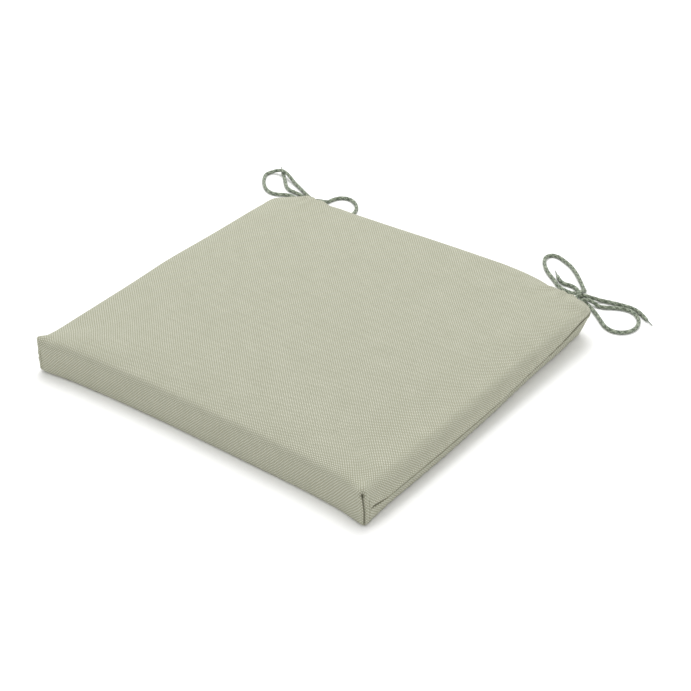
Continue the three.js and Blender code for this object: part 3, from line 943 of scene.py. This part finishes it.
def write_seam_values(mesh, box_places, row_of):
    """How far each point is from the side seam and from the front corners' darts."""
    x, y, z = box_places.T
    px, py = round_plan(x, y)
    seam = seam_height(px, py)
    on_front = (y <= -DEPTH / 2) & (np.abs(x) < WIDTH / 2)
    on_back = (y >= DEPTH / 2) & (x > ZIP_SLOT[0]) & (x < ZIP_SLOT[1])
    off = np.where((row_of == 0) | (row_of == TOP_ROW), 30, z - seam)
    off = np.where(on_front, 30, off)
    add_values(mesh, "off_seam", np.where(on_back, 30, off))
    add_values(mesh, "on_back", (y >= DEPTH / 2 - 6) & (row_of > 0) & (row_of < TOP_ROW))
    corner_x = WIDTH / 2 - FRONT_CORNER * (1 - math.sqrt(0.5))
    corner_y = -DEPTH / 2 + FRONT_CORNER * (1 - math.sqrt(0.5))
    add_values(mesh, "off_dart", np.hypot(np.abs(px) - corner_x, py - corner_y))
    add_values(mesh, "up", z)


def build_foam():
    """The foam core: the sewn shape again, smaller all round."""
    places, faces, _ = pad_grid(openings=False)
    block = make_mesh("foam_block", shaped(*places.T), [face for _, face in faces])
    normals = vertex_normals(block.data)
    inner = vertex_places(block.data) - normals * FOAM_INSET
    inner[:, 1] = np.minimum(inner[:, 1], FOAM_BACK)
    inner[:, 2] = np.clip(inner[:, 2], FOAM_BOTTOM, FOAM_TOP)
    set_places(block.data, inner)
    subdivide(block, 1)
    block.data.materials.clear()
    block.data.materials.append(foam_material())
    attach(block, "pad")
    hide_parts("foam_core")


# ---- stitches ----
def surface_points(tree, starts, direction):
    """Where rays from the starts, in millimetres, meet the cover, and the normals there."""
    places = []
    normals = []
    for start in starts:
        place, normal, _, _ = tree.ray_cast(Vector(start) * MM, Vector(direction))
        if place is not None:
            places.append(np.array(place) / MM)
            normals.append(np.array(normal))
    return np.array(places), np.array(normals)


def add_stitches(name, places, normals, node, thick, lift):
    """A row of separate stitches along the points, each diving into the cloth at its ends."""
    along = np.concatenate([[0], np.cumsum(np.linalg.norm(np.diff(places, axis=0), axis=1))])

    def at(distance, values):
        return np.column_stack([np.interp(distance, along, values[:, k]) for k in range(3)])

    stitch, gap = 2.7, 0.8
    parts = []
    for start in np.arange(0.5, along[-1] - stitch, stitch + gap):
        marks = start + stitch * np.array([0, 0.12, 0.35, 0.65, 0.88, 1])
        rise = np.array([-0.45, 0.0, 1, 1, 0.0, -0.45]) * lift
        line = at(marks, places) + at(marks, normals) * rise[:, None]
        radii = np.full((len(marks), 6), thick / 2)
        points, faces = tube(line, radii, 6)
        parts.append((points.tolist(), faces))
    row = join(name, parts)
    row.data.materials.append(thread_look)
    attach(row, "pad")
    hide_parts(node)


def add_seam_stitches(cover):
    tree = BVHTree.FromObject(cover, bpy.context.evaluated_depsgraph_get())
    # The side and dart stitches lie deep in the seam grooves in dark thread; their dark line stands in for
    # painted shade of the grooves as well as thread.
    for side, sign in (("left", -1), ("right", 1)):
        ys = np.arange(-186, 158, 0.9)
        xs = np.full_like(ys, sign * 230)
        starts = np.column_stack([xs, ys, seam_height(np.full_like(ys, sign * 200.0), ys)])
        places, normals = surface_points(tree, starts, (-sign, 0, 0))
        add_stitches(f"side_stitches_{side}", places, normals, f"side_seam_thread_{side}", 0.45, 0.1)
        zs = np.arange(6, HEIGHT - 9, 0.5)
        starts = [(sign * (WIDTH / 2 + 20) + 5.5, -DEPTH / 2 - 20, z) for z in zs]
        places, normals = surface_points(tree, starts, Vector((-sign, 1, 0)).normalized())
        add_stitches(f"dart_stitches_{side}", places, normals, f"corner_seam_thread_{side}", 0.45, 0.1)
    for row, sign in (("lower", -1), ("upper", 1)):
        starts = [(x, 230, ZIP_HEIGHT + sign * ZIP_STITCH) for x in np.arange(-157, 157, 0.9)]
        places, normals = surface_points(tree, starts, (0, -1, 0))
        add_stitches(f"zip_stitches_{row}", places, normals, f"zip_stitch_{row}", 0.5, 0.28)


# ---- zip ----
def add_coils():
    """Two flattened helices of nylon, whose turns mesh along the middle of the zip."""
    turns = (COIL_ENDS[1] - COIL_ENDS[0]) / COIL_PITCH
    angle = np.arange(0, turns, 1 / 14) * 2 * math.pi
    for row, sign, phase in (("lower", -1, 0.0), ("upper", 1, math.pi)):
        turn = angle + phase
        line = np.column_stack([
            COIL_ENDS[0] + COIL_PITCH * angle / (2 * math.pi),
            CHAIN_Y + COIL_HALF_DEPTH * np.sin(turn),
            ZIP_HEIGHT + sign * (COIL_CENTRE - COIL_HALF_WIDTH * np.cos(turn)),
        ])
        points, faces = tube(line, np.full((len(line), 6), FILAMENT_RADIUS), 6)
        coil = make_mesh(f"zip_coil_turns_{row}", points, faces)
        coil.data.materials.append(coil_look)
        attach(coil, "pad")
        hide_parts(f"zip_coil_{row}")


def finish_node(name, material, bevel):
    """Gives a CAD part its material and softened edges."""
    node = nodes[name]
    node.data.materials.clear()
    node.data.materials.append(material)
    edges = node.modifiers.new("soft_edges", "BEVEL")
    edges.width = bevel * MM
    edges.segments = 3
    edges.limit_method = "ANGLE"
    edges.angle_limit = math.radians(40)


def finish_zip():
    tape = tape_material()
    metal = metal_material()
    for row in ("lower", "upper"):
        finish_node(f"zip_tape_{row}", tape, 0.12)
        finish_node(f"zip_top_stop_{row}", metal, 0.3)
    finish_node("zip_bottom_stop", metal, 0.4)
    finish_node("zip_slider", metal, 0.18)
    finish_node("zip_pull", metal, 0.18)
    for side in ("left", "right"):
        finish_node(f"tie_bar_tack_{side}", thread_look, 0.4)


# ---- main ----
add_camera()
cord_look = cord_material()
thread_look = thread_material()
coil_look = coil_material()
add_ties()
cover = build_cover()
build_foam()
add_seam_stitches(cover)
add_coils()
finish_zip()
add_studio()
